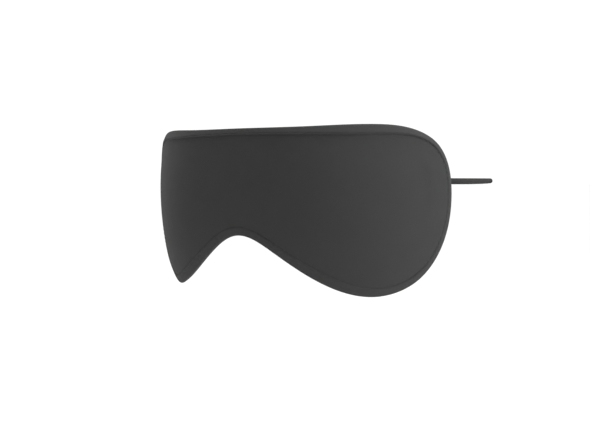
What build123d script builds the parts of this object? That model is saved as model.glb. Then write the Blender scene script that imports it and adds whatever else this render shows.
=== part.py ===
from build123d import *
import os
from math import cos, degrees, radians, sin, sqrt, tan

# A contoured sleep mask for both eyes, in the shape it takes on a wearer's head.
# Millimetres. The mask's front faces -Y, +X is across the face and +Z is up.
# The origin is in the middle of the wearer's head: on the upright axis that the mask curves
# round, at the height of the mask's widest line.

# ---- driving dimensions -----------------------------------------------------------------
PLAN_RADIUS = 125.0        # the front face's curve round the face, at its widest line
CROWN_RADIUS = 180.0       # the front face's curve from brow to cheek
COVER = 0.9                # thickness of the face fabric
BLACKOUT = 0.5             # thickness of the light-blocking interlining
FOAM = 4.0                 # thickness of the foam filling
LINING = 0.8               # thickness of the lining that touches the skin
BINDING = 0.7              # thickness of the edge binding on each face
BINDING_RIM = 1.0          # how far the binding stands past the layers at the rim
STITCH_MARGIN = 0.6        # from the binding's inner edge to its topstitching
THREAD = 0.4               # width of the sewing thread
THREAD_RISE = 0.25         # how far the thread stands out of the fabric
CORD = 2.6                 # diameter of the strap's round elastic cord
CORD_CORE = 1.4            # diameter of the cord's rubber core
STRAP_HEIGHT = 3.7         # the strap's height above the mask's widest line, where it's sewn in
STRAP_FALL = 0.01          # how far it falls for each millimetre towards the back of the head
TAIL = 9.0                 # length of cord sewn in at each end
TACK_LENGTH = 6.0          # a bar tack's length, across the cord
TACK_WIDTH = 2.2           # its width along the cord
TACK_RISE = 0.45           # how far it stands out of the lining
TACK_INSET = 4.2           # from the rim to the bar tack's middle

# Half of the flat pattern, from the top's middle round to the nose notch's apex:
# distance from the middle along the curved face, and height.
PATTERN = [
    (0.0, 29.9), (40.0, 30.2), (72.0, 30.9), (90.0, 28.8), (102.0, 22.0), (107.6, 10.0),
    (108.7, -2.0), (105.4, -25.0), (93.5, -43.7), (72.0, -51.8), (46.0, -46.1), (20.0, -31.2),
    (0.0, -23.3),
]
# The same half of the binding's inner edge. Its band narrows towards the strap.
BAND_PATTERN = [
    (0.0, 26.8), (39.4, 26.4), (71.6, 26.0), (86.9, 25.6), (98.6, 21.8), (105.0, 13.6),
    (107.3, 0.4), (105.1, -19.8), (96.0, -37.3), (73.8, -47.4), (49.4, -41.5), (26.5, -29.9),
    (0.0, -19.1),
]
OUTLINE_ARCS = 12          # arcs along half of each outline

# The strap's centre line in plan, from the mask's end at +X to the back of the head.
STRAP_PLAN = [
    (93.5, -76.8), (96.1, -70.6), (95.1, -58.5), (89.1, -35.0), (75.5, 2.5), (60.5, 38.0),
    (39.5, 66.0), (14.0, 79.0),
]
BEND_SHARE = 0.45          # each bend's share of the shorter of its two runs

# ---- derived dimensions -----------------------------------------------------------------
PADDING = COVER + BLACKOUT + FOAM + LINING
BACK_FACE = PADDING + BINDING                       # depth of the binding's face by the skin
RIM_TURN = max(along for along, height in PATTERN) / PLAN_RADIUS
TAIL_RADIUS = PLAN_RADIUS - COVER - BLACKOUT - FOAM / 2
TAIL_TURN = TAIL / TAIL_RADIUS
PROFILE_ANGLE = 20.0       # half the arc that a layer's upright profile covers
PLAN_ANGLE = 62.0          # half the arc that a layer covers before it is trimmed
CUT_NEAR = 50.0            # distances in front of the axis where the trimming cone ends
CUT_FAR = 160.0


def face_radius(height):
    """Distance of the front face from the upright axis at a height."""
    return PLAN_RADIUS - CROWN_RADIUS + sqrt(CROWN_RADIUS**2 - height**2)


def trim_point(along, height, distance):
    """Where the ray from the origin through a pattern point meets an upright plane."""
    turn = along / PLAN_RADIUS
    return (distance * tan(turn), distance * height / (face_radius(height) * cos(turn)))


def trim_face(pattern, inset, distance):
    """The outline set in from a half pattern, as a chain of arcs on an upright plane."""
    with BuildLine():
        half = Spline(*pattern, tangents=[(1, 0), (-1, 0)])
    points = []
    for step in range(2 * OUTLINE_ARCS + 1):
        share = step / (2 * OUTLINE_ARCS)
        place = half @ share
        heading = half % share
        points.append(trim_point(place.X + inset * heading.Y, place.Y - inset * heading.X, distance))
    with BuildSketch(Plane.XZ.offset(distance)) as outline:
        with BuildLine():
            for start, middle, end in zip(points[0::2], points[1::2], points[2::2]):
                ThreePointArc(start, middle, end)
            mirror(about=Plane.YZ)
        make_face()
    return outline.sketch


def trim(pattern, inset, mode):
    """Cut the part in hand with a cone from the origin through the inset outline."""
    ends = [trim_face(pattern, inset, distance) for distance in (CUT_NEAR, CUT_FAR)]
    loft(ends, ruled=True, mode=mode)


def curved_layer(front, back):
    """A layer of the mask between two depths behind the front face, not yet trimmed."""
    start = radians(-PLAN_ANGLE)
    outward = Vector(sin(start), -cos(start), 0)
    centre = (PLAN_RADIUS - CROWN_RADIUS, 0)
    upright = Plane(origin=(0, 0, 0), x_dir=outward, z_dir=outward.cross(Vector(0, 0, 1)))
    with BuildSketch(upright) as profile:
        with BuildLine():
            outer = CenterArc(centre, CROWN_RADIUS - front, -PROFILE_ANGLE, 2 * PROFILE_ANGLE)
            inner = CenterArc(centre, CROWN_RADIUS - back, -PROFILE_ANGLE, 2 * PROFILE_ANGLE)
            Line(outer @ 0, inner @ 0)
            Line(outer @ 1, inner @ 1)
        make_face()
    revolve(profile.sketch, axis=Axis.Z, revolution_arc=2 * PLAN_ANGLE)


def round_the_head(turn, radius, height):
    """The point at a turn round the upright axis, counted from the mask's middle."""
    return Vector(radius * sin(turn), -radius * cos(turn), height)


def bend_radii(points):
    """The radius of each bend along a route, as large as its two runs allow."""
    radii = []
    for before, corner, after in zip(points, points[1:], points[2:]):
        half_turn = radians((corner - before).get_angle(after - corner) / 2)
        shorter = min((corner - before).length, (after - corner).length)
        radii.append(BEND_SHARE * shorter / tan(half_turn))
    return radii


def finish(piece, name):
    """Name a finished piece and write it."""
    piece.part.label = name
    export_step(piece.part, f"parts/{name}.step")


os.makedirs("parts", exist_ok=True)

# ---- sewn-in ends of the strap ------------------------------------------------------------
# Each end of the cord runs back between the layers, along the curve of the mask.
tails = {}
for side, sign in (("left", 1), ("right", -1)):
    rim = round_the_head(sign * RIM_TURN, TAIL_RADIUS, STRAP_HEIGHT)
    with BuildPart() as tail:
        with BuildSketch(Plane(origin=rim, x_dir=(rim.X, rim.Y, 0), z_dir=(-rim.Y, rim.X, 0))) as end:
            Circle(CORD / 2)
        revolve(end.sketch, axis=Axis.Z, revolution_arc=-sign * degrees(TAIL_TURN))
    finish(tail, f"strap_tail_{side}")
    tails[side] = tail

# ---- layers of the mask --------------------------------------------------------------------
with BuildPart() as front_cover:
    curved_layer(0, COVER)
    trim(PATTERN, BINDING_RIM, Mode.INTERSECT)
finish(front_cover, "front_cover")

with BuildPart() as blackout_layer:
    curved_layer(COVER, COVER + BLACKOUT)
    trim(PATTERN, BINDING_RIM, Mode.INTERSECT)
finish(blackout_layer, "blackout_layer")

with BuildPart() as foam_pad:
    curved_layer(COVER + BLACKOUT, COVER + BLACKOUT + FOAM)
    trim(PATTERN, BINDING_RIM, Mode.INTERSECT)
    add([tail.part for tail in tails.values()], mode=Mode.SUBTRACT)
finish(foam_pad, "foam_pad")

with BuildPart() as back_lining:
    curved_layer(PADDING - LINING, PADDING)
    trim(PATTERN, BINDING_RIM, Mode.INTERSECT)
finish(back_lining, "back_lining")

# ---- edge binding: a tape folded over the rim of all the layers -----------------------------
with BuildPart() as layer_stack:
    curved_layer(0, PADDING)
    trim(PATTERN, BINDING_RIM, Mode.INTERSECT)

with BuildPart() as edge_binding:
    curved_layer(-BINDING, BACK_FACE)
    trim(PATTERN, 0, Mode.INTERSECT)
    trim(BAND_PATTERN, 0, Mode.SUBTRACT)
    add(layer_stack.part, mode=Mode.SUBTRACT)
    add([tail.part for tail in tails.values()], mode=Mode.SUBTRACT)
finish(edge_binding, "edge_binding")

# ---- topstitching that holds the binding, one thread on each face ---------------------------
with BuildPart() as needle_thread:
    curved_layer(-BINDING - THREAD_RISE, -BINDING)
    trim(BAND_PATTERN, -STITCH_MARGIN - THREAD, Mode.INTERSECT)
    trim(BAND_PATTERN, -STITCH_MARGIN, Mode.SUBTRACT)
finish(needle_thread, "needle_thread")

with BuildPart() as bobbin_thread:
    curved_layer(BACK_FACE, BACK_FACE + THREAD_RISE)
    trim(BAND_PATTERN, -STITCH_MARGIN - THREAD, Mode.INTERSECT)
    trim(BAND_PATTERN, -STITCH_MARGIN, Mode.SUBTRACT)
finish(bobbin_thread, "bobbin_thread")

# ---- bar tacks that hold the strap's sewn-in ends -------------------------------------------
for side, sign in (("left", 1), ("right", -1)):
    tack_turn = sign * (RIM_TURN - TACK_INSET / PLAN_RADIUS)
    middle = round_the_head(tack_turn, PLAN_RADIUS - PADDING, STRAP_HEIGHT)
    with BuildPart() as bar_tack:
        curved_layer(PADDING, PADDING + TACK_RISE)
        with Locations(Location(middle, (0, 0, degrees(tack_turn)))):
            Box(TACK_WIDTH, PADDING, TACK_LENGTH, mode=Mode.INTERSECT)
    finish(bar_tack, f"bar_tack_{side}")

# ---- strap: round elastic cord round the back of the head ------------------------------------
# The free strap starts a hair behind each sewn-in end, where the cord flexes.
start_y = STRAP_PLAN[0][1]
route = [Vector(x, y, STRAP_HEIGHT - STRAP_FALL * (y - start_y)) for x, y in STRAP_PLAN]
route += [Vector(-point.X, point.Y, point.Z) for point in reversed(route)]
radii = bend_radii(route)
print("strap bends, radii in mm:", [round(radius, 1) for radius in radii])
with BuildLine() as strap_line:
    FilletPolyline(*route, radius=radii)
strap_start = Plane(origin=route[0], z_dir=route[1] - route[0])
print("strap length in mm:", round(strap_line.wire().length, 1))

with BuildPart() as strap_core:
    with BuildSketch(strap_start) as core_section:
        Circle(CORD_CORE / 2)
    sweep(core_section.sketch, path=strap_line.wire())
finish(strap_core, "strap_core")

with BuildPart() as strap_sheath:
    with BuildSketch(strap_start) as cord_section:
        Circle(CORD / 2)
    sweep(cord_section.sketch, path=strap_line.wire())
    with Locations(route[0], route[-1]):
        Sphere(CORD / 2)
    add(strap_core.part, mode=Mode.SUBTRACT)
finish(strap_sheath, "strap_sheath")
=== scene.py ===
import math

import bpy
import numpy as np
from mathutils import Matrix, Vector
from mathutils.geometry import delaunay_2d_cdt


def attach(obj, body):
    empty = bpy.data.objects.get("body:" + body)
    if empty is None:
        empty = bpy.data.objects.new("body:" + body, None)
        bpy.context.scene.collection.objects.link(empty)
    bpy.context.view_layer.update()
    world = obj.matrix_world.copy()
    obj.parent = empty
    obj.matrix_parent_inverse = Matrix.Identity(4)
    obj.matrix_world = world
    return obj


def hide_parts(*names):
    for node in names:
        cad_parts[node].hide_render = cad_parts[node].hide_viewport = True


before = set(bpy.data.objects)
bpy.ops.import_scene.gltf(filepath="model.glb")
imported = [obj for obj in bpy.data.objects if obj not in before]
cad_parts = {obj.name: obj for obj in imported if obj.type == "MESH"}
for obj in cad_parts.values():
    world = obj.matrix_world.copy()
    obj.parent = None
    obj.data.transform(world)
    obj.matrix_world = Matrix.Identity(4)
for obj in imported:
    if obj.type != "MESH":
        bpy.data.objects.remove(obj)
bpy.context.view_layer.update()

# A padded sleep mask for both eyes, as it curves round a wearer's head, with its elastic strap.
# Metres. The mask's front faces -Y and +Z is up. The barrel-shaped front face curves round the
# upright axis through the origin.

MM = 0.001

# ---- shape of the mask, the same driving sizes as the CAD model's ------------------------------
PLAN_RADIUS = 125 * MM
CROWN_RADIUS = 180 * MM
THICKNESS = 6.2 * MM
PATTERN = [
    (0.0, 29.9), (40.0, 30.2), (72.0, 30.9), (90.0, 28.8), (102.0, 22.0), (107.6, 10.0),
    (108.7, -2.0), (105.4, -25.0), (93.5, -43.7), (72.0, -51.8), (46.0, -46.1), (20.0, -31.2),
    (0.0, -23.3),
]
BAND_PATTERN = [
    (0.0, 26.8), (39.4, 26.4), (71.6, 26.0), (86.9, 25.6), (98.6, 21.8), (105.0, 13.6),
    (107.3, 0.4), (105.1, -19.8), (96.0, -37.3), (73.8, -47.4), (49.4, -41.5), (26.5, -29.9),
    (0.0, -19.1),
]
RIM_POINTS = 480           # points round the whole outline
CURVE_SAMPLES = 4000       # fine points that measure a smooth curve's length

# ---- relief and softness that only this model has ----------------------------------------------
RIM_GROWTH = 0.35 * MM     # how far the band's fold stands past the pattern
END_GROWTH = 0.35 * MM     # how much further it stands at the mask's ends
RIM_ROLL = 0.8 * MM        # radius of the fold at the rim
RIM_DROP = 0.25 * MM       # how much deeper than the face the band is at the fold
BAND_LIFT = 0.75 * MM      # how far the band stands out of the face beside its seam
BACK_SPAN = 14.0 * MM      # how far inside the rim the back reaches its full depth

DROOP = np.array([-1.1, -1.75]) * MM     # how far one lobe's tip hangs out of true
DROOP_MIDDLE = 74 * MM     # how far from the mask's middle that tip is
DROOP_REACH = 12 * MM
DROOP_HEIGHT = 40 * MM     # how far down the droop reaches its full size

SEAM_DEPTH = 0.20 * MM     # how deep the seam pulls the fabric in
LOW_PULL = 0.35            # its pull along the lobes, as a share of its pull along the top
LOW_HEIGHT = -20 * MM      # below this the seam pulls least
PULL_RISE = 35 * MM        # how far above that it pulls in full
SEAM_WIDTH = 0.55 * MM     # half the width of the furrow that it makes
SEAM_HIDDEN = 1.6 * MM     # nearer the rim than this the seam leaves no mark
SEAM_FADE = 2.0 * MM       # how much further in its mark is full
LIFT_WIDTH = 0.4 * MM      # how close to the seam the band reaches its full lift
SINK_WIDTH = 1.2 * MM      # how close to the seam the panel is sunk in full
TUCK_SLOPE = 0.8           # how steeply the panels' edges dive under the band
MIDDLE_INSET = 20 * MM     # stands for the inset of every point in a panel's middle
FAR = 50 * MM              # stands for a seam or a cord too far away to matter
PANEL_SINK = 0.40 * MM     # depth of the panel's fabric before it swells
PILLOW_CAP = 0.42 * MM     # furthest that the fabric swells out between the seams
SWELL_PRESSURE = 4.0
SWELL_FRAMES = 20

# ---- sizes of the strap and its sewn-in ends ---------------------------------------------------
STRAP_DIAMETER = 2.6 * MM
STRAP_HEIGHT = 3.7 * MM    # where the strap leaves the mask
STRAP_CORE_DIAMETER = 1.4 * MM
LUMP_HEIGHT = 3.1 * MM     # the bulge over each sewn-in end
LUMP_WIDTH = 2.7 * MM      # half its width
LUMP_START = 1.2 * MM      # how far inside the rim it is highest
LUMP_LENGTH = 9.5 * MM     # how far inside the rim it ends
STRAP_PLAN = [
    (93.5, -76.8), (96.1, -70.6), (95.1, -58.5), (89.1, -35.0), (75.5, 2.5), (60.5, 38.0),
    (39.5, 66.0), (14.0, 79.0),
]
STRAP_FALL = 0.005         # how far it falls for each millimetre towards the back of the head;
                           # half the CAD model's, as the photo's strap shows it
STRAP_HIDDEN_END = (92.5, -79.0)

# ---- camera ------------------------------------------------------------------------------------
CAMERA_AZIMUTH = math.radians(36.54)
CAMERA_PLACE = (0.3103, -0.4945, 0.00775)
CAMERA_LENS = 59.19
CAMERA_SHIFT = (-0.00085, -0.0823)


def add_camera():
    data = bpy.data.cameras.new("camera")
    data.lens = CAMERA_LENS
    data.sensor_width = 36.0
    data.shift_x, data.shift_y = CAMERA_SHIFT
    camera = bpy.data.objects.new("camera", data)
    camera.location = CAMERA_PLACE
    camera.rotation_euler = (math.pi / 2, 0.0, CAMERA_AZIMUTH)
    bpy.context.collection.objects.link(camera)
    bpy.context.scene.camera = camera


# ---- mesh helpers ------------------------------------------------------------------------------
def add_mesh(name, points, faces, uv=None):
    """A smooth-shaded mesh object, with uv in metres of cloth for its weave."""
    mesh = bpy.data.meshes.new(name)
    mesh.from_pydata([tuple(point) for point in points], [], [tuple(face) for face in faces])
    mesh.shade_smooth()
    if uv is not None:
        layer = mesh.uv_layers.new(name="cloth")
        corners = np.zeros(len(mesh.loops), dtype=np.int32)
        mesh.loops.foreach_get("vertex_index", corners)
        layer.data.foreach_set("uv", np.asarray(uv)[corners].ravel())
    mesh.update()
    piece = bpy.data.objects.new(name, mesh)
    bpy.context.collection.objects.link(piece)
    return piece


def ring_faces(rings, size):
    """Quads between neighbouring rings of size points each, the rings following one another."""
    faces = []
    for low in range(0, (rings - 1) * size, size):
        high = low + size
        for step in range(size):
            after = (step + 1) % size
            faces.append((low + step, low + after, high + after, high + step))
    return faces


def subdivide(piece):
    modifier = piece.modifiers.new("smooth", "SUBSURF")
    modifier.levels = 1
    modifier.render_levels = 1
    apply_modifiers(piece)


def apply_modifiers(piece):
    graph = bpy.context.evaluated_depsgraph_get()
    mesh = bpy.data.meshes.new_from_object(piece.evaluated_get(graph))
    piece.modifiers.clear()
    piece.data = mesh


def mesh_points(piece):
    points = np.zeros(len(piece.data.vertices) * 3)
    piece.data.vertices.foreach_get("co", points)
    return points.reshape(-1, 3)


def set_mesh_points(piece, points):
    piece.data.vertices.foreach_set("co", points.ravel())
    piece.data.update()


# ---- the mask's outline and face ---------------------------------------------------------------
def run_lengths(points):
    """How far along a line of points each of them is."""
    return np.concatenate([[0.0], np.cumsum(np.linalg.norm(np.diff(points, axis=0), axis=1))])


def smooth_curve(points, start_slope, end_slope, samples):
    """Evenly spaced points on the smoothest curve through points, with given end directions."""
    knots = np.array(points, dtype=float)
    spans = np.linalg.norm(np.diff(knots, axis=0), axis=1)
    places = np.concatenate([[0.0], np.cumsum(spans)])
    count = len(knots)
    system = np.eye(count)
    target = np.zeros((count, 2))
    target[0], target[-1] = start_slope, end_slope
    for i in range(1, count - 1):
        before, after = spans[i - 1], spans[i]
        system[i, i - 1:i + 2] = 1 / before, 2 / before + 2 / after, 1 / after
        target[i] = 3 * ((knots[i] - knots[i - 1]) / before**2
                         + (knots[i + 1] - knots[i]) / after**2)
    slopes = np.linalg.solve(system, target)

    def curve(at):
        i = np.clip(np.searchsorted(places, at) - 1, 0, count - 2)
        h = spans[i][:, None]
        t = ((at - places[i]) / spans[i])[:, None]
        return ((1 + 2 * t) * (1 - t)**2 * knots[i] + t * (1 - t)**2 * h * slopes[i]
                + t * t * (3 - 2 * t) * knots[i + 1] + t * t * (t - 1) * h * slopes[i + 1])

    fine = np.linspace(0, places[-1], CURVE_SAMPLES)
    lengths = run_lengths(curve(fine))
    return curve(np.interp(np.linspace(0, lengths[-1], samples), lengths, fine))


def flat_outline(pattern, samples):
    """A closed outline from its half pattern, from the top's middle round to it again."""
    half = smooth_curve(np.array(pattern) * MM, (1, 0), (-1, 0), samples // 2 + 1)
    return np.concatenate([half, half[-2:0:-1] * (-1, 1)])


def outward_normals(outline):
    along = np.roll(outline, -1, axis=0) - np.roll(outline, 1, axis=0)
    along /= np.linalg.norm(along, axis=1)[:, None]
    return np.stack([-along[:, 1], along[:, 0]], axis=1)


def droop(outline):
    """One lobe's tip hangs a little lower and further out than the other's."""
    near = np.exp(-((outline[:, 0] + DROOP_MIDDLE) / DROOP_REACH)**2)
    near *= np.clip(-outline[:, 1] / DROOP_HEIGHT, 0, 1)
    return outline + near[:, None] * DROOP


SEAM_SAMPLES = 6000
SEAM_SEARCH = 12 * MM      # the seam is nowhere further inside the rim


def seam_insets():
    """How far inside the rim the seam runs, straight in from each of the rim's points."""
    seam = droop(flat_outline(BAND_PATTERN, SEAM_SAMPLES))
    insets = []
    for place, normal in zip(RIM, RIM_NORMAL):
        offset = seam - place
        inward = -offset @ normal
        aside = np.abs(offset @ (normal[1], -normal[0]))
        aside[(inward < 0) | (inward > SEAM_SEARCH)] = math.inf
        insets.append(inward[np.argmin(aside)])
    return np.array(insets)


RIM = flat_outline(PATTERN, RIM_POINTS)
RIM_NORMAL = outward_normals(RIM)
RIM = droop(RIM + RIM_NORMAL * (RIM_GROWTH + END_GROWTH * RIM_NORMAL[:, :1]**2))
RIM_NORMAL = outward_normals(RIM)
SEAM = seam_insets()
RIM_STEP = float(np.linalg.norm(RIM[1] - RIM[0]))


def inset_ring(inset):
    return RIM - RIM_NORMAL * np.broadcast_to(inset, (len(RIM),))[:, None]


def face_normal(flat):
    turn = flat[:, 0] / PLAN_RADIUS
    lean = np.arcsin(flat[:, 1] / CROWN_RADIUS)
    return np.stack([np.sin(turn) * np.cos(lean), -np.cos(turn) * np.cos(lean), np.sin(lean)],
                    axis=1)


def on_face(flat, depth):
    """Points of the flat pattern carried onto the mask's curved face, a depth behind its front."""
    turn = flat[:, 0] / PLAN_RADIUS
    radius = PLAN_RADIUS - CROWN_RADIUS + np.sqrt(CROWN_RADIUS**2 - flat[:, 1]**2)
    front = np.stack([radius * np.sin(turn), -radius * np.cos(turn), flat[:, 1]], axis=1)
    return front - np.broadcast_to(depth, (len(flat),))[:, None] * face_normal(flat)


# ---- fabric panels -----------------------------------------------------------------------------
PANEL_RINGS = [-0.5, 0.0, 0.35, 0.8, 1.4, 2.2, 3.2, 4.5, 6.2, 8.2]   # millimetres inside the seam
PANEL_SPACING = 2.6 * MM
PANEL_REACH = 0.12         # further out than any part of the mask
EDGE_CLEARANCE = 0.6 * PANEL_SPACING


def fill_outline(edge):
    """Even points inside a closed outline, and triangles over both, the outline's points first."""
    rows = np.arange(edge[:, 1].min(), edge[:, 1].max(), PANEL_SPACING * math.sqrt(0.75))
    middle = []
    for number, height in enumerate(rows):
        shift = PANEL_SPACING / 2 if number % 2 else 0.0
        columns = np.arange(-PANEL_REACH, PANEL_REACH, PANEL_SPACING)
        middle += [(column + shift, height) for column in columns]
    middle = np.array(middle)
    gaps = np.array([np.linalg.norm(edge - point, axis=1).min() for point in middle])
    middle = middle[(gaps > EDGE_CLEARANCE) & inside_outline(middle, edge)]
    border = [(i, (i + 1) % len(edge)) for i in range(len(edge))]
    corners = [Vector(point) for point in np.concatenate([edge, middle])]
    result = delaunay_2d_cdt(corners, border, [], 1, 1e-9)
    faces = [tuple(result[3][corner][0] for corner in face) for face in result[2]]
    return middle, faces


def panel_mesh(name, seam, rings, depth_at, outward):
    """A layer inside a seam: rings beside it, then even triangles in the middle.

    Gives the piece, its points in the flat pattern, and how far inside the seam they are."""
    steps = np.array(rings) * MM
    flat = np.concatenate([inset_ring(seam + step) for step in steps])
    inside = np.repeat(steps, len(RIM))
    inset = inside + np.tile(seam, len(steps))
    seams = np.tile(seam, len(steps))
    faces = [face[::-1] for face in ring_faces(len(steps), len(RIM))]
    last = len(flat) - len(RIM)
    middle, filling = fill_outline(flat[last:])
    faces += [tuple(last + corner for corner in face) for face in filling]
    flat = np.concatenate([flat, middle])
    far = np.full(len(middle), MIDDLE_INSET)
    inside, inset = np.concatenate([inside, far]), np.concatenate([inset, far])
    seams = np.concatenate([seams, np.full(len(middle), seam.mean())])
    if not outward:
        faces = [face[::-1] for face in faces]
    depth = depth_at(inset, inside, seams, flat[:, 1])
    return add_mesh(name, on_face(flat, depth), faces, flat), flat, inside


def inside_outline(points, outline):
    """Which points lie inside a closed outline, by counting the sides crossed going right."""
    start, end = outline, np.roll(outline, -1, axis=0)
    crossings = np.zeros(len(points), dtype=int)
    for (x0, y0), (x1, y1) in zip(start, end):
        spans = (y0 > points[:, 1]) != (y1 > points[:, 1])
        if y0 != y1:
            at = x0 + (points[:, 1] - y0) * (x1 - x0) / (y1 - y0)
            crossings += spans & (points[:, 0] < at)
    return crossings % 2 == 1


def swell(piece, normals, held, cap):
    """Let a panel swell like padded cloth between its seams, by cloth simulation, up to a cap."""
    start = mesh_points(piece)
    group = piece.vertex_groups.new(name="sewn")
    group.add([int(i) for i in np.flatnonzero(held)], 1.0, "REPLACE")
    modifier = piece.modifiers.new("cloth", "CLOTH")
    settings = modifier.settings
    settings.vertex_group_mass = "sewn"
    settings.quality = 8
    settings.mass = 0.15
    settings.tension_stiffness = 40
    settings.compression_stiffness = 40
    settings.shear_stiffness = 20
    settings.bending_stiffness = 5
    settings.use_pressure = True
    settings.uniform_pressure_force = SWELL_PRESSURE
    settings.effector_weights.gravity = 0
    modifier.collision_settings.use_collision = False
    scene = bpy.context.scene
    for number in range(1, SWELL_FRAMES + 1):
        scene.frame_set(number)
    graph = bpy.context.evaluated_depsgraph_get()
    swollen = piece.evaluated_get(graph).to_mesh()
    moved = np.zeros(len(swollen.vertices) * 3)
    swollen.vertices.foreach_get("co", moved)
    piece.evaluated_get(graph).to_mesh_clear()
    piece.modifiers.clear()
    scene.frame_set(1)
    rise = ((moved.reshape(-1, 3) - start) * normals).sum(axis=1)
    rise = cap * np.tanh(np.maximum(rise, 0) / cap)
    set_mesh_points(piece, start + normals * rise[:, None])


def seam_strength(seam, height):
    """The seam pulls hardest along the top, and fades where it runs onto the fold of the rim."""
    pull = LOW_PULL + (1 - LOW_PULL) * np.clip((height - LOW_HEIGHT) / PULL_RISE, 0, 1)
    return pull * np.clip((seam - SEAM_HIDDEN) / SEAM_FADE, 0, 1)


def furrow(inset, seam, height):
    return SEAM_DEPTH * seam_strength(seam, height) * np.exp(-((inset - seam) / SEAM_WIDTH)**2)


def front_depth(inset, seam, height):
    """Depth of the front at an inset from the rim: the band slopes from its seam to the fold."""
    fold = RIM_ROLL - np.sqrt(RIM_ROLL**2 - np.clip(RIM_ROLL - inset, 0, RIM_ROLL)**2)
    band = np.clip(seam - inset, 0, None)
    lift = BAND_LIFT * seam_strength(seam, height) * (1 - np.exp(-(band / LIFT_WIDTH)**2))
    return fold + (lift + RIM_DROP) * band / seam - lift + furrow(inset, seam, height)


def back_depth(inset, seam, height):
    """Depth of the back at an inset from the rim: thin at the rim and full further in."""
    rim_depth = RIM_ROLL + RIM_DROP
    fold = np.sqrt(RIM_ROLL**2 - np.clip(RIM_ROLL - inset, 0, RIM_ROLL)**2)
    share = np.clip(inset / BACK_SPAN, 0, 1)
    rise = (THICKNESS - rim_depth - RIM_ROLL) * np.sin(share * math.pi / 2)
    return rim_depth + fold + rise + cord_lump(inset, height) - furrow(inset, seam, height)


def cord_lump(inset, height):
    """The back bulges over the cord's sewn-in ends."""
    across = np.exp(-((height - STRAP_HEIGHT) / LUMP_WIDTH)**2)
    along = np.clip(inset / LUMP_START, 0, 1) * np.clip(1 - inset / LUMP_LENGTH, 0, 1)
    return LUMP_HEIGHT * across * along


def panel_sink(inside):
    """How far a panel lies in before it swells, at a distance inside its seam."""
    return PANEL_SINK * (1 - np.exp(-np.maximum(inside, 0) / SINK_WIDTH))


def cover_depth(inset, inside, seam, height):
    sink = panel_sink(inside) * seam_strength(seam, height)
    return front_depth(inset, seam, height) + sink + TUCK_SLOPE * np.clip(-inside, 0, None)


def lining_depth(inset, inside, seam, height):
    sink = panel_sink(inside) * seam_strength(seam, height)
    return back_depth(inset, seam, height) - sink - TUCK_SLOPE * np.clip(-inside, 0, None)


def make_panel(name, node, depth_at, outward, material):
    piece, flat, inside = panel_mesh(name, SEAM, PANEL_RINGS, depth_at, outward)
    swell(piece, face_normal(flat) * (1 if outward else -1), inside <= 0, PILLOW_CAP)
    subdivide(piece)
    piece.data.materials.append(material)
    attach(piece, "mask")
    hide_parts(node)


# ---- layers inside -----------------------------------------------------------------------------
BLACKOUT_DEPTH = 1.15 * MM
BLACKOUT_INSET = 2.2 * MM
BLACKOUT_RINGS = [0.0, 2.0, 4.5, 8.0]        # millimetres inside its edge
FOAM_FRONT = 1.5 * MM
FOAM_BACK = 5.2 * MM
FOAM_LEAST = 0.3 * MM      # its thickness at its skived edge
FOAM_RINGS = [2.4, 3.4, 5.0, 7.5, 10.5, 14.5]     # millimetres inside the rim
FILLING_GAP = 0.9 * MM     # between the filling and the band's fabric


def make_blackout(material):
    """The light-blocking interlining, one thin sheet behind the front panel."""
    piece = panel_mesh("blackout_sheet", np.full(len(RIM), BLACKOUT_INSET), BLACKOUT_RINGS,
                       lambda inset, *rest: np.full(len(inset), BLACKOUT_DEPTH), True)[0]
    piece.data.materials.append(material)
    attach(piece, "mask")
    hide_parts("blackout_layer")


def foam_back(inset):
    """Depth of the foam's back: skived thin towards the rim, like the mask's back."""
    outside = back_depth(inset, FAR, FAR)
    return np.maximum(np.minimum(outside - FILLING_GAP, FOAM_BACK), FOAM_FRONT + FOAM_LEAST)


def make_foam(material):
    """The foam pad, closed: its front, its thin edge and its back."""
    rings = [ring * MM for ring in FOAM_RINGS]
    size = len(RIM)
    flats = [inset_ring(ring) for ring in rings[::-1] + rings]
    depths = [np.full(size, FOAM_FRONT) for ring in rings]
    depths += [foam_back(np.full(size, ring)) for ring in rings]
    faces = ring_faces(len(flats), size)
    middle, filling = fill_outline(flats[0])
    count = size * len(flats)
    inner = count + len(middle)

    def numbered(start, added):
        return [tuple(start + corner if corner < size else added + corner - size for corner in face)
                for face in filling]

    faces += numbered(0, count)
    faces += [face[::-1] for face in numbered(count - size, inner)]
    deep = foam_back(np.full(len(middle), MIDDLE_INSET))
    points = [on_face(flat, depth) for flat, depth in zip(flats, depths)]
    points += [on_face(middle, FOAM_FRONT), on_face(middle, deep)]
    piece = add_mesh("foam_core", np.concatenate(points), faces)
    piece.data.materials.append(material)
    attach(piece, "mask")
    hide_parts("foam_pad")


# ---- the band round the rim --------------------------------------------------------------------
BAND_TUCK = 0.45 * MM      # how far the band's edges turn in under the panels
TUCK_DIVE = 1.5            # how steeply they dive there
BAND_LEVELS = 8            # rings on each side, between the seam and the fold
BAND_TURNS = 7             # rings round each half of the fold


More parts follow.
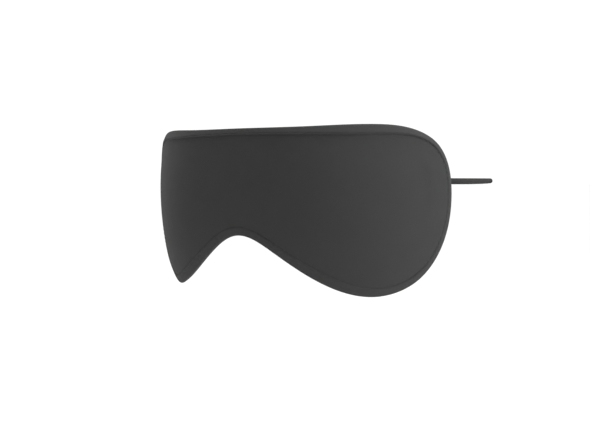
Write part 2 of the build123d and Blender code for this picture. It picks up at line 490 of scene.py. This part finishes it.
def band_rings():
    """The band's rings as insets and depths, from under the front round the rim to the lining."""
    tuck = np.array([1.0, 0.5])[:, None] * BAND_TUCK
    hidden = SEAM + 0.5 * tuck
    fold = np.minimum(SEAM, RIM_ROLL)
    shares = 1 - np.arange(BAND_LEVELS)[:, None] / BAND_LEVELS
    level = fold + (SEAM - fold) * shares
    turn = np.linspace(0, math.pi / 2, BAND_TURNS)[:, None]
    rolled = fold * (1 - np.sin(turn))
    front = np.concatenate([hidden, level, rolled])
    front_depths = front_depth(front, SEAM, RIM[:, 1])
    front_depths[:2] += TUCK_DIVE * tuck
    back = np.concatenate([rolled[::-1][1:], level[::-1], hidden[::-1]])
    back_depths = back_depth(back, SEAM, RIM[:, 1])
    back_depths[-2:] -= TUCK_DIVE * tuck[::-1]
    return list(zip(np.concatenate([front, back]), np.concatenate([front_depths, back_depths])))


def make_band(material):
    rings, flats = [], []
    across = 0.0
    for inset, depth in band_rings():
        ring = on_face(inset_ring(inset), depth)
        if rings:
            across += np.linalg.norm(ring - rings[-1], axis=1).mean()
        rings.append(ring)
        flats.append(np.stack([np.arange(len(RIM)) * RIM_STEP, np.full(len(RIM), across)], axis=1))
    size = len(RIM)
    piece = add_mesh("rim_band", np.concatenate(rings), ring_faces(len(rings), size),
                     np.concatenate(flats))
    fix_seam_uv(piece, size * RIM_STEP)
    subdivide(piece)
    piece.data.materials.append(material)
    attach(piece, "mask")
    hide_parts("edge_binding")


# ---- stitches ----------------------------------------------------------------------------------
STITCH_PITCH = 2.6 * MM
STITCH_THREAD = 0.36 * MM
STITCH_SIDES = 8
STITCH_POINTS = 9          # along each stitch
STITCH_SHARE = 0.92        # how much of its pitch a stitch shows
STITCH_TAPER = 0.6         # how much thinner it is at its ends
STITCH_DIP = 0.30 * MM     # how far its ends dip in
STITCH_SINK = 0.06 * MM    # how far its middle lies in


def stitch_row(name, node, depth_at, inward, material):
    """A row of machine stitches along the seam: short runs of thread that dip in at their ends."""
    line = inset_ring(SEAM)
    closed = np.concatenate([line, line[:1]])
    lengths = run_lengths(closed)
    seams = np.concatenate([SEAM, SEAM[:1]])
    count = round(lengths[-1] / STITCH_PITCH)
    points = []
    faces = []
    for number in range(count):
        share = np.linspace(-1, 1, STITCH_POINTS)
        at = (number + 0.5 + STITCH_SHARE / 2 * share) * lengths[-1] / count
        flat = np.stack([np.interp(at, lengths, closed[:, axis]) for axis in range(2)], axis=1)
        seam = np.interp(at, lengths, seams)
        dip = STITCH_DIP * share**4 + STITCH_SINK
        path = on_face(flat, depth_at(seam, seam, flat[:, 1]) + inward * dip)
        radius = STITCH_THREAD / 2 * np.sqrt(1 - STITCH_TAPER * share**6)
        points.append(thread_run(path, face_normal(flat), radius))
        first = number * STITCH_POINTS * STITCH_SIDES
        faces += [tuple(first + corner for corner in face)
                  for face in ring_faces(STITCH_POINTS, STITCH_SIDES)]
    piece = add_mesh(name, np.concatenate(points), faces)
    piece.data.materials.append(material)
    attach(piece, "mask")
    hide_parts(node)


def thread_run(path, up, radius):
    """Rings of points round a thread's path."""
    along = np.gradient(path, axis=0)
    along /= np.linalg.norm(along, axis=1)[:, None]
    aside = np.cross(along, up)
    angles = np.arange(STITCH_SIDES) * 2 * math.pi / STITCH_SIDES
    ring = (np.cos(angles)[None, :, None] * aside[:, None, :]
            + np.sin(angles)[None, :, None] * up[:, None, :])
    return (path[:, None, :] + np.reshape(radius, (-1, 1, 1)) * ring).reshape(-1, 3)


TACK_INSET = 4.2 * MM
TACK_LENGTH = 6.0 * MM
TACK_WIDTH = 2.2 * MM
TACK_PASSES = 13
TACK_THREAD = 0.32 * MM
TACK_FINE = 8              # points along each stitch
TACK_LIFT = 0.22 * MM      # how far each stitch stands out, between its ends
TACK_SINK = 0.02 * MM


def bar_tack(name, node, sign, material):
    """Dense zigzag stitches across the sewn-in cord, on the lining."""
    middle = max(across for across, height in PATTERN) * MM - TACK_INSET
    steps = np.arange(2 * TACK_PASSES + 1)
    height = STRAP_HEIGHT + TACK_LENGTH * (steps / (2 * TACK_PASSES) - 0.5)
    along = middle + TACK_WIDTH / 2 * np.where(steps % 2 == 0, -1, 1)
    fine = np.linspace(0, len(steps) - 1, TACK_FINE * (len(steps) - 1) + 1)
    flat = np.stack([sign * np.interp(fine, steps, along), np.interp(fine, steps, height)], axis=1)
    lift = TACK_LIFT * np.sin(math.pi * (fine % 1.0))
    depth = back_depth(TACK_INSET, FAR, flat[:, 1]) + lift + TACK_SINK
    radius = np.full(len(flat), TACK_THREAD / 2)
    points = thread_run(on_face(flat, depth), face_normal(flat), radius)
    piece = add_mesh(name, points, ring_faces(len(flat), STITCH_SIDES))
    piece.data.materials.append(material)
    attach(piece, "mask")
    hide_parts(node)


def fix_seam_uv(piece, around):
    """Unwrap the faces that close a ring, so that the weave doesn't run back across them."""
    layer = piece.data.uv_layers[0].data
    for polygon in piece.data.polygons:
        values = [layer[loop].uv[0] for loop in polygon.loop_indices]
        if max(values) - min(values) > around / 2:
            for loop in polygon.loop_indices:
                if layer[loop].uv[0] < around / 2:
                    layer[loop].uv[0] += around


# ---- strap -------------------------------------------------------------------------------------
def strap_points():
    start_y = STRAP_PLAN[0][1]
    half = [(x * MM, y * MM, STRAP_HEIGHT - STRAP_FALL * (y - start_y) * MM)
            for x, y in [STRAP_HIDDEN_END] + STRAP_PLAN]
    return half + [(-x, y, z) for x, y, z in reversed(half)]


def smooth_path(points, spacing):
    """Points read from the smooth spline that has points as its control points."""
    data = bpy.data.curves.new("strap_line", "CURVE")
    data.dimensions = "3D"
    spline = data.splines.new("NURBS")
    spline.points.add(len(points) - 1)
    for place, point in zip(spline.points, points):
        place.co = (*point, 1.0)
    spline.order_u = 3
    spline.use_endpoint_u = True
    spline.resolution_u = 32
    line = bpy.data.objects.new("strap_line", data)
    bpy.context.collection.objects.link(line)
    graph = bpy.context.evaluated_depsgraph_get()
    mesh = bpy.data.meshes.new_from_object(line.evaluated_get(graph))
    path = np.array([vertex.co for vertex in mesh.vertices])
    bpy.data.objects.remove(line)
    bpy.data.meshes.remove(mesh)
    lengths = run_lengths(path)
    at = np.linspace(0, lengths[-1], round(lengths[-1] / spacing) + 1)
    return np.stack([np.interp(at, lengths, path[:, axis]) for axis in range(3)], axis=1), at


TUBE_TIP = 0.02            # radius of a rounded end's tip, as a share of the tube's


def tube(name, path, at, radius_at, sides):
    """A tube along a nearly level path, with rounded ends; radius_at gives its radius by place."""
    along = np.gradient(path, axis=0)
    along /= np.linalg.norm(along, axis=1)[:, None]
    up = np.array([0.0, 0.0, 1.0])
    aside = np.cross(along, up)
    angles = np.arange(sides) * 2 * math.pi / sides
    radius = radius_at(at[:, None], angles[None, :])
    ends = np.minimum(at, at[-1] - at)[:, None]
    cap = radius.max()
    taper = np.sqrt(np.clip(1 - (1 - np.clip(ends / cap, 0, 1))**2, 0.0, 1.0))
    radius = radius * np.maximum(taper, TUBE_TIP)
    ring = np.cos(angles)[None, :, None] * aside[:, None, :] + np.sin(angles)[None, :, None] * up
    points = path[:, None, :] + radius[..., None] * ring
    uv = np.stack(np.broadcast_arrays(at[:, None], angles[None, :] / (2 * math.pi)), axis=2)
    faces = [face[::-1] for face in ring_faces(len(path), sides)]
    last = (len(path) - 1) * sides
    faces.append(tuple(range(sides)))
    faces.append(tuple(last + i for i in reversed(range(sides))))
    piece = add_mesh(name, points.reshape(-1, 3), faces, uv.reshape(-1, 2))
    fix_tube_uv(piece)
    return piece


def fix_tube_uv(piece):
    layer = piece.data.uv_layers[0].data
    for polygon in piece.data.polygons:
        if len(polygon.loop_indices) > 4:
            continue
        values = [layer[loop].uv[1] for loop in polygon.loop_indices]
        if max(values) - min(values) > 0.5:
            for loop in polygon.loop_indices:
                if layer[loop].uv[1] < 0.5:
                    layer[loop].uv[1] += 1.0


BRAID_STRANDS = 8
BRAID_PITCH = 8.0 * MM     # along the cord for one turn of a strand
BRAID_RELIEF = 0.16 * MM
BRAID_LEVEL = 0.25         # the part of the relief that lies inside the cord's diameter
UNDER_SHARE = 0.55         # how far a strand still stands up where another crosses over it


def braid_radius(at, angle):
    """The sheath's surface: two sets of strands wind opposite ways, over and under each other."""
    turn = BRAID_STRANDS * angle / (2 * math.pi)
    one = turn + BRAID_STRANDS * at / BRAID_PITCH
    two = turn - BRAID_STRANDS * at / BRAID_PITCH
    wave_one, wave_two = np.sin(math.pi * one), np.sin(math.pi * two)
    crown_one, crown_two = np.abs(wave_one), np.abs(wave_two)
    over = wave_one * wave_two > 0
    height = np.where(over, np.maximum(crown_one, UNDER_SHARE * crown_two),
                      np.maximum(crown_two, UNDER_SHARE * crown_one))
    return STRAP_DIAMETER / 2 + BRAID_RELIEF * (height - BRAID_LEVEL)


SHEATH_SPACING = 0.25 * MM
SHEATH_SIDES = 40
CORE_SPACING = 3 * MM
CORE_SIDES = 12


def make_strap(sheath_material, core_material):
    path, at = smooth_path(strap_points(), SHEATH_SPACING)
    sheath = tube("strap_cord", path, at, braid_radius, SHEATH_SIDES)
    sheath.data.materials.append(sheath_material)
    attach(sheath, "strap")
    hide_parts("strap_sheath")
    inner, inner_at = smooth_path(strap_points(), CORE_SPACING)

    def plain_radius(at, angle):
        return np.full(np.broadcast(at, angle).shape, STRAP_CORE_DIAMETER / 2)

    core = tube("strap_rubber_core", inner[1:-1], inner_at[1:-1] - inner_at[1], plain_radius,
                CORE_SIDES)
    core.data.materials.append(core_material)
    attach(core, "strap")
    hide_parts("strap_core")


# ---- materials ---------------------------------------------------------------------------------
class Nodes:
    """A short way to write a material's node tree."""

    def __init__(self, name):
        self.material = bpy.data.materials.new(name)
        self.material.use_nodes = True
        self.tree = self.material.node_tree
        self.shader = self.tree.nodes["Principled BSDF"]

    def add(self, kind, **values):
        node = self.tree.nodes.new(kind)
        for key, value in values.items():
            setattr(node, key, value)
        return node

    def link(self, source, target):
        self.tree.links.new(source, target)

    def noise(self, scale, detail, vector):
        node = self.add("ShaderNodeTexNoise")
        node.inputs["Scale"].default_value = scale
        node.inputs["Detail"].default_value = detail
        self.link(vector, node.inputs["Vector"])
        return node.outputs[0]

    def bump(self, strength, distance, height):
        node = self.add("ShaderNodeBump")
        node.inputs["Strength"].default_value = strength
        node.inputs["Distance"].default_value = distance
        self.link(height, node.inputs["Height"])
        self.link(node.outputs[0], self.shader.inputs["Normal"])

    def maths(self, operation, *inputs):
        node = self.add("ShaderNodeMath", operation=operation)
        for socket, value in zip(node.inputs, inputs):
            if isinstance(value, (int, float)):
                socket.default_value = value
            else:
                self.link(value, socket)
        return node.outputs[0]


CHARCOAL = (0.0176, 0.0176, 0.0176)
FIBRE_SCALE = 5200         # of the noise that makes the knit's fibres uneven
PATCH_SCALE = 60           # of the noise that makes its shade uneven over larger patches
FLUFF_SCALE = 6000         # of the noise on the braid's yarns
KNIT_RELIEF = 0.08 * MM
GRAIN_RELIEF = 0.1 * MM
YARN_RELIEF = 0.08 * MM
FILAMENTS = 12.0           # how many show on one yarn


def knit_material(name, colour, loops_per_metre, sheen, roughness):
    """Fine knitted cloth: rows of loops in relief, with painted shade darkening the colour in the
    troughs between them, fibres of uneven tone, and a soft sheen.
    """
    nodes = Nodes(name)
    cloth = nodes.add("ShaderNodeUVMap", uv_map="cloth").outputs[0]
    split = nodes.add("ShaderNodeSeparateXYZ")
    nodes.link(cloth, split.inputs[0])
    rate = 2 * math.pi * loops_per_metre
    across = nodes.maths("MULTIPLY", split.outputs[0], rate)
    along = nodes.maths("MULTIPLY", split.outputs[1], rate * 0.8)
    wale = nodes.maths("ABSOLUTE", nodes.maths("SINE", nodes.maths("MULTIPLY", across, 0.5)))
    lean = nodes.maths("MULTIPLY", nodes.maths("SINE", across), 0.9)
    course = nodes.maths("SINE", nodes.maths("ADD", along, lean))
    loops = nodes.maths("ADD", nodes.maths("MULTIPLY", wale, 0.6),
                        nodes.maths("MULTIPLY", course, 0.4))

    fibres = nodes.noise(FIBRE_SCALE, 3, cloth)
    patches = nodes.noise(PATCH_SCALE, 4, cloth)

    # Painted shade: the colour follows the loops' relief, darker in the troughs between loops and
    # wales
    shade = nodes.add("ShaderNodeMapRange")
    shade.inputs["From Min"].default_value = -0.4
    shade.inputs["From Max"].default_value = 1.0
    shade.inputs["To Min"].default_value = 0.86
    shade.inputs["To Max"].default_value = 1.08
    nodes.link(loops, shade.inputs["Value"])
    heather = nodes.maths("ADD", nodes.maths("MULTIPLY", fibres, 0.30), 0.85)
    cloud = nodes.maths("ADD", nodes.maths("MULTIPLY", patches, 0.10), 0.95)
    tone = nodes.maths("MULTIPLY", nodes.maths("MULTIPLY", shade.outputs[0], heather), cloud)
    mix = nodes.add("ShaderNodeMix", data_type="RGBA", blend_type="MULTIPLY")
    mix.inputs["Factor"].default_value = 1.0
    mix.inputs["A"].default_value = (*colour, 1.0)
    grey = nodes.add("ShaderNodeCombineColor")
    for socket in grey.inputs:
        nodes.link(tone, socket)
    nodes.link(grey.outputs[0], mix.inputs["B"])
    nodes.link(mix.outputs["Result"], nodes.shader.inputs["Base Color"])

    rough = nodes.maths("ADD", nodes.maths("MULTIPLY", fibres, 0.15), roughness - 0.07)
    nodes.link(rough, nodes.shader.inputs["Roughness"])
    nodes.bump(0.5, KNIT_RELIEF, nodes.maths("ADD", loops, nodes.maths("MULTIPLY", fibres, 0.5)))
    nodes.shader.inputs["Sheen Weight"].default_value = sheen
    nodes.shader.inputs["Sheen Roughness"].default_value = 0.5
    nodes.shader.inputs["Specular IOR Level"].default_value = 0.0
    return nodes.material


def plain_material(name, colour, roughness, grain):
    """A matt material with a fine uneven grain."""
    nodes = Nodes(name)
    noise = nodes.noise(grain, 4, nodes.add("ShaderNodeTexCoord").outputs["Object"])
    ramp = nodes.add("ShaderNodeValToRGB")
    ramp.color_ramp.elements[0].color = (*[0.7 * value for value in colour], 1)
    ramp.color_ramp.elements[1].color = (*[1.3 * value for value in colour], 1)
    nodes.link(noise, ramp.inputs[0])
    nodes.link(ramp.outputs[0], nodes.shader.inputs["Base Color"])
    nodes.bump(0.4, GRAIN_RELIEF, noise)
    nodes.shader.inputs["Roughness"].default_value = roughness
    nodes.shader.inputs["Specular IOR Level"].default_value = 0.0
    return nodes.material


def braid_material(name, colour):
    """A round braid's yarns: filaments along each, and painted shade in the gaps between strands
    and where one passes under another.
    """
    nodes = Nodes(name)
    split = nodes.add("ShaderNodeSeparateXYZ")
    nodes.link(nodes.add("ShaderNodeUVMap", uv_map="cloth").outputs[0], split.inputs[0])
    along = nodes.maths("MULTIPLY", split.outputs[0], math.pi * BRAID_STRANDS / BRAID_PITCH)
    turn = nodes.maths("MULTIPLY", split.outputs[1], math.pi * BRAID_STRANDS)
    one = nodes.maths("ADD", turn, along)
    two = nodes.maths("SUBTRACT", turn, along)
    wave_one = nodes.maths("SINE", one)
    wave_two = nodes.maths("SINE", two)
    over = nodes.maths("GREATER_THAN", nodes.maths("MULTIPLY", wave_one, wave_two), 0.0)
    under = nodes.maths("SUBTRACT", 1.0, over)

    def either(first, second):
        return nodes.maths("ADD", nodes.maths("MULTIPLY", over, first),
                           nodes.maths("MULTIPLY", under, second))

    # crown falls to nothing at each strand's edges, so the colour mix below paints shade into the
    # gaps and under the crossing strands
    crown = nodes.maths("POWER", nodes.maths("ABSOLUTE", either(wave_one, wave_two)), 0.6)
    filaments = nodes.maths("SINE", nodes.maths("MULTIPLY", either(one, two), FILAMENTS))
    fluff = nodes.noise(FLUFF_SCALE, 3, nodes.add("ShaderNodeTexCoord").outputs["Object"])
    yarn = nodes.maths("ADD", nodes.maths("MULTIPLY", crown, 0.75),
                       nodes.maths("MULTIPLY", filaments, 0.07))
    tone = nodes.maths("ADD", nodes.maths("MULTIPLY", fluff, 0.35), yarn)
    # Painted shade: the dark end of this mix, a quarter of the colour, goes where crown is low,
    # between strands and under crossings
    mix = nodes.add("ShaderNodeMix", data_type="RGBA")
    mix.inputs["A"].default_value = (*[0.25 * value for value in colour], 1.0)
    mix.inputs["B"].default_value = (*colour, 1.0)
    nodes.link(tone, mix.inputs["Factor"])
    nodes.link(mix.outputs["Result"], nodes.shader.inputs["Base Color"])
    nodes.bump(0.6, YARN_RELIEF, tone)
    nodes.shader.inputs["Roughness"].default_value = 0.85
    nodes.shader.inputs["Specular IOR Level"].default_value = 0.0
    return nodes.material


# ---- stage -------------------------------------------------------------------------------------
FLOOR_DROP = 0.60
FLOOR_HALF = 60.0
SKY = 1.05


def add_stage():
    corners = [(x * FLOOR_HALF, y * FLOOR_HALF, -FLOOR_DROP)
               for x, y in ((-1, -1), (1, -1), (1, 1), (-1, 1))]
    floor = add_mesh("floor", corners, [(0, 1, 2, 3)])
    material = bpy.data.materials.new("white_paper")
    material.use_nodes = True
    shader = material.node_tree.nodes["Principled BSDF"]
    shader.inputs["Base Color"].default_value = (0.97, 0.97, 0.97, 1)
    shader.inputs["Roughness"].default_value = 0.9
    floor.data.materials.append(material)

    world = bpy.data.worlds.new("studio")
    world.use_nodes = True
    sky = world.node_tree.nodes["Background"]
    sky.inputs["Color"].default_value = (1, 1, 1, 1)
    sky.inputs["Strength"].default_value = SKY
    bpy.context.scene.world = world


LIGHT_DISTANCE = 1.4
LIGHT_AIM = (0.0, -0.06, 0.0)


def add_light(name, azimuth, elevation, size, power):
    """A square soft light that looks at the mask; azimuth 0 is in front, positive towards +X."""
    data = bpy.data.lights.new(name, "AREA")
    data.shape = "SQUARE"
    data.size = size
    data.energy = power
    lamp = bpy.data.objects.new(name, data)
    a, e = math.radians(azimuth), math.radians(elevation)
    back = Vector((math.sin(a) * math.cos(e), -math.cos(a) * math.cos(e), math.sin(e)))
    lamp.location = Vector(LIGHT_AIM) + LIGHT_DISTANCE * back
    lamp.rotation_mode = "QUATERNION"
    lamp.rotation_quaternion = back.to_track_quat("Z", "Y")
    bpy.context.collection.objects.link(lamp)


def add_lights():
    add_light("side_light_left", -110, 15, 0.5, 82)
    add_light("side_light_right", 105, 19, 0.5, 85)
    add_light("top_light", 0, 89, 0.8, 72)
    bpy.context.scene.view_settings.view_transform = "Standard"


# ---- make everything ---------------------------------------------------------------------------
add_camera()
face_cloth = knit_material("charcoal_knit", CHARCOAL, 2600, 0.01, 0.9)
band_cloth = knit_material("charcoal_knit_tape", CHARCOAL, 2800, 0.01, 0.9)
lining_cloth = knit_material("brushed_lining", CHARCOAL, 2000, 0.02, 0.95)
blackout = plain_material("coated_interlining", (0.012, 0.012, 0.012), 0.6, 2500)
foam = plain_material("polyurethane_foam", (0.55, 0.53, 0.46), 0.9, 2200)
thread = plain_material("spun_thread", (0.0170, 0.0170, 0.0170), 0.9, 9000)
cord_cloth = braid_material("braided_sheath", (0.0125, 0.0125, 0.0125))
cord_end = plain_material("sewn_in_cord", (0.0098, 0.0098, 0.0098), 0.9, 3000)
rubber = plain_material("rubber", (0.6, 0.58, 0.52), 0.6, 900)
make_strap(cord_cloth, rubber)
for tail in ("strap_tail_left", "strap_tail_right"):
    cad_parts[tail].data.materials.clear()
    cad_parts[tail].data.materials.append(cord_end)
make_foam(foam)
make_blackout(blackout)
make_panel("front_panel", "front_cover", cover_depth, True, face_cloth)
make_panel("lining_panel", "back_lining", lining_depth, False, lining_cloth)
make_band(band_cloth)
stitch_row("front_stitches", "needle_thread", front_depth, 1, thread)
stitch_row("back_stitches", "bobbin_thread", back_depth, -1, thread)
bar_tack("tack_left", "bar_tack_left", 1, thread)
bar_tack("tack_right", "bar_tack_right", -1, thread)
add_stage()
add_lights()
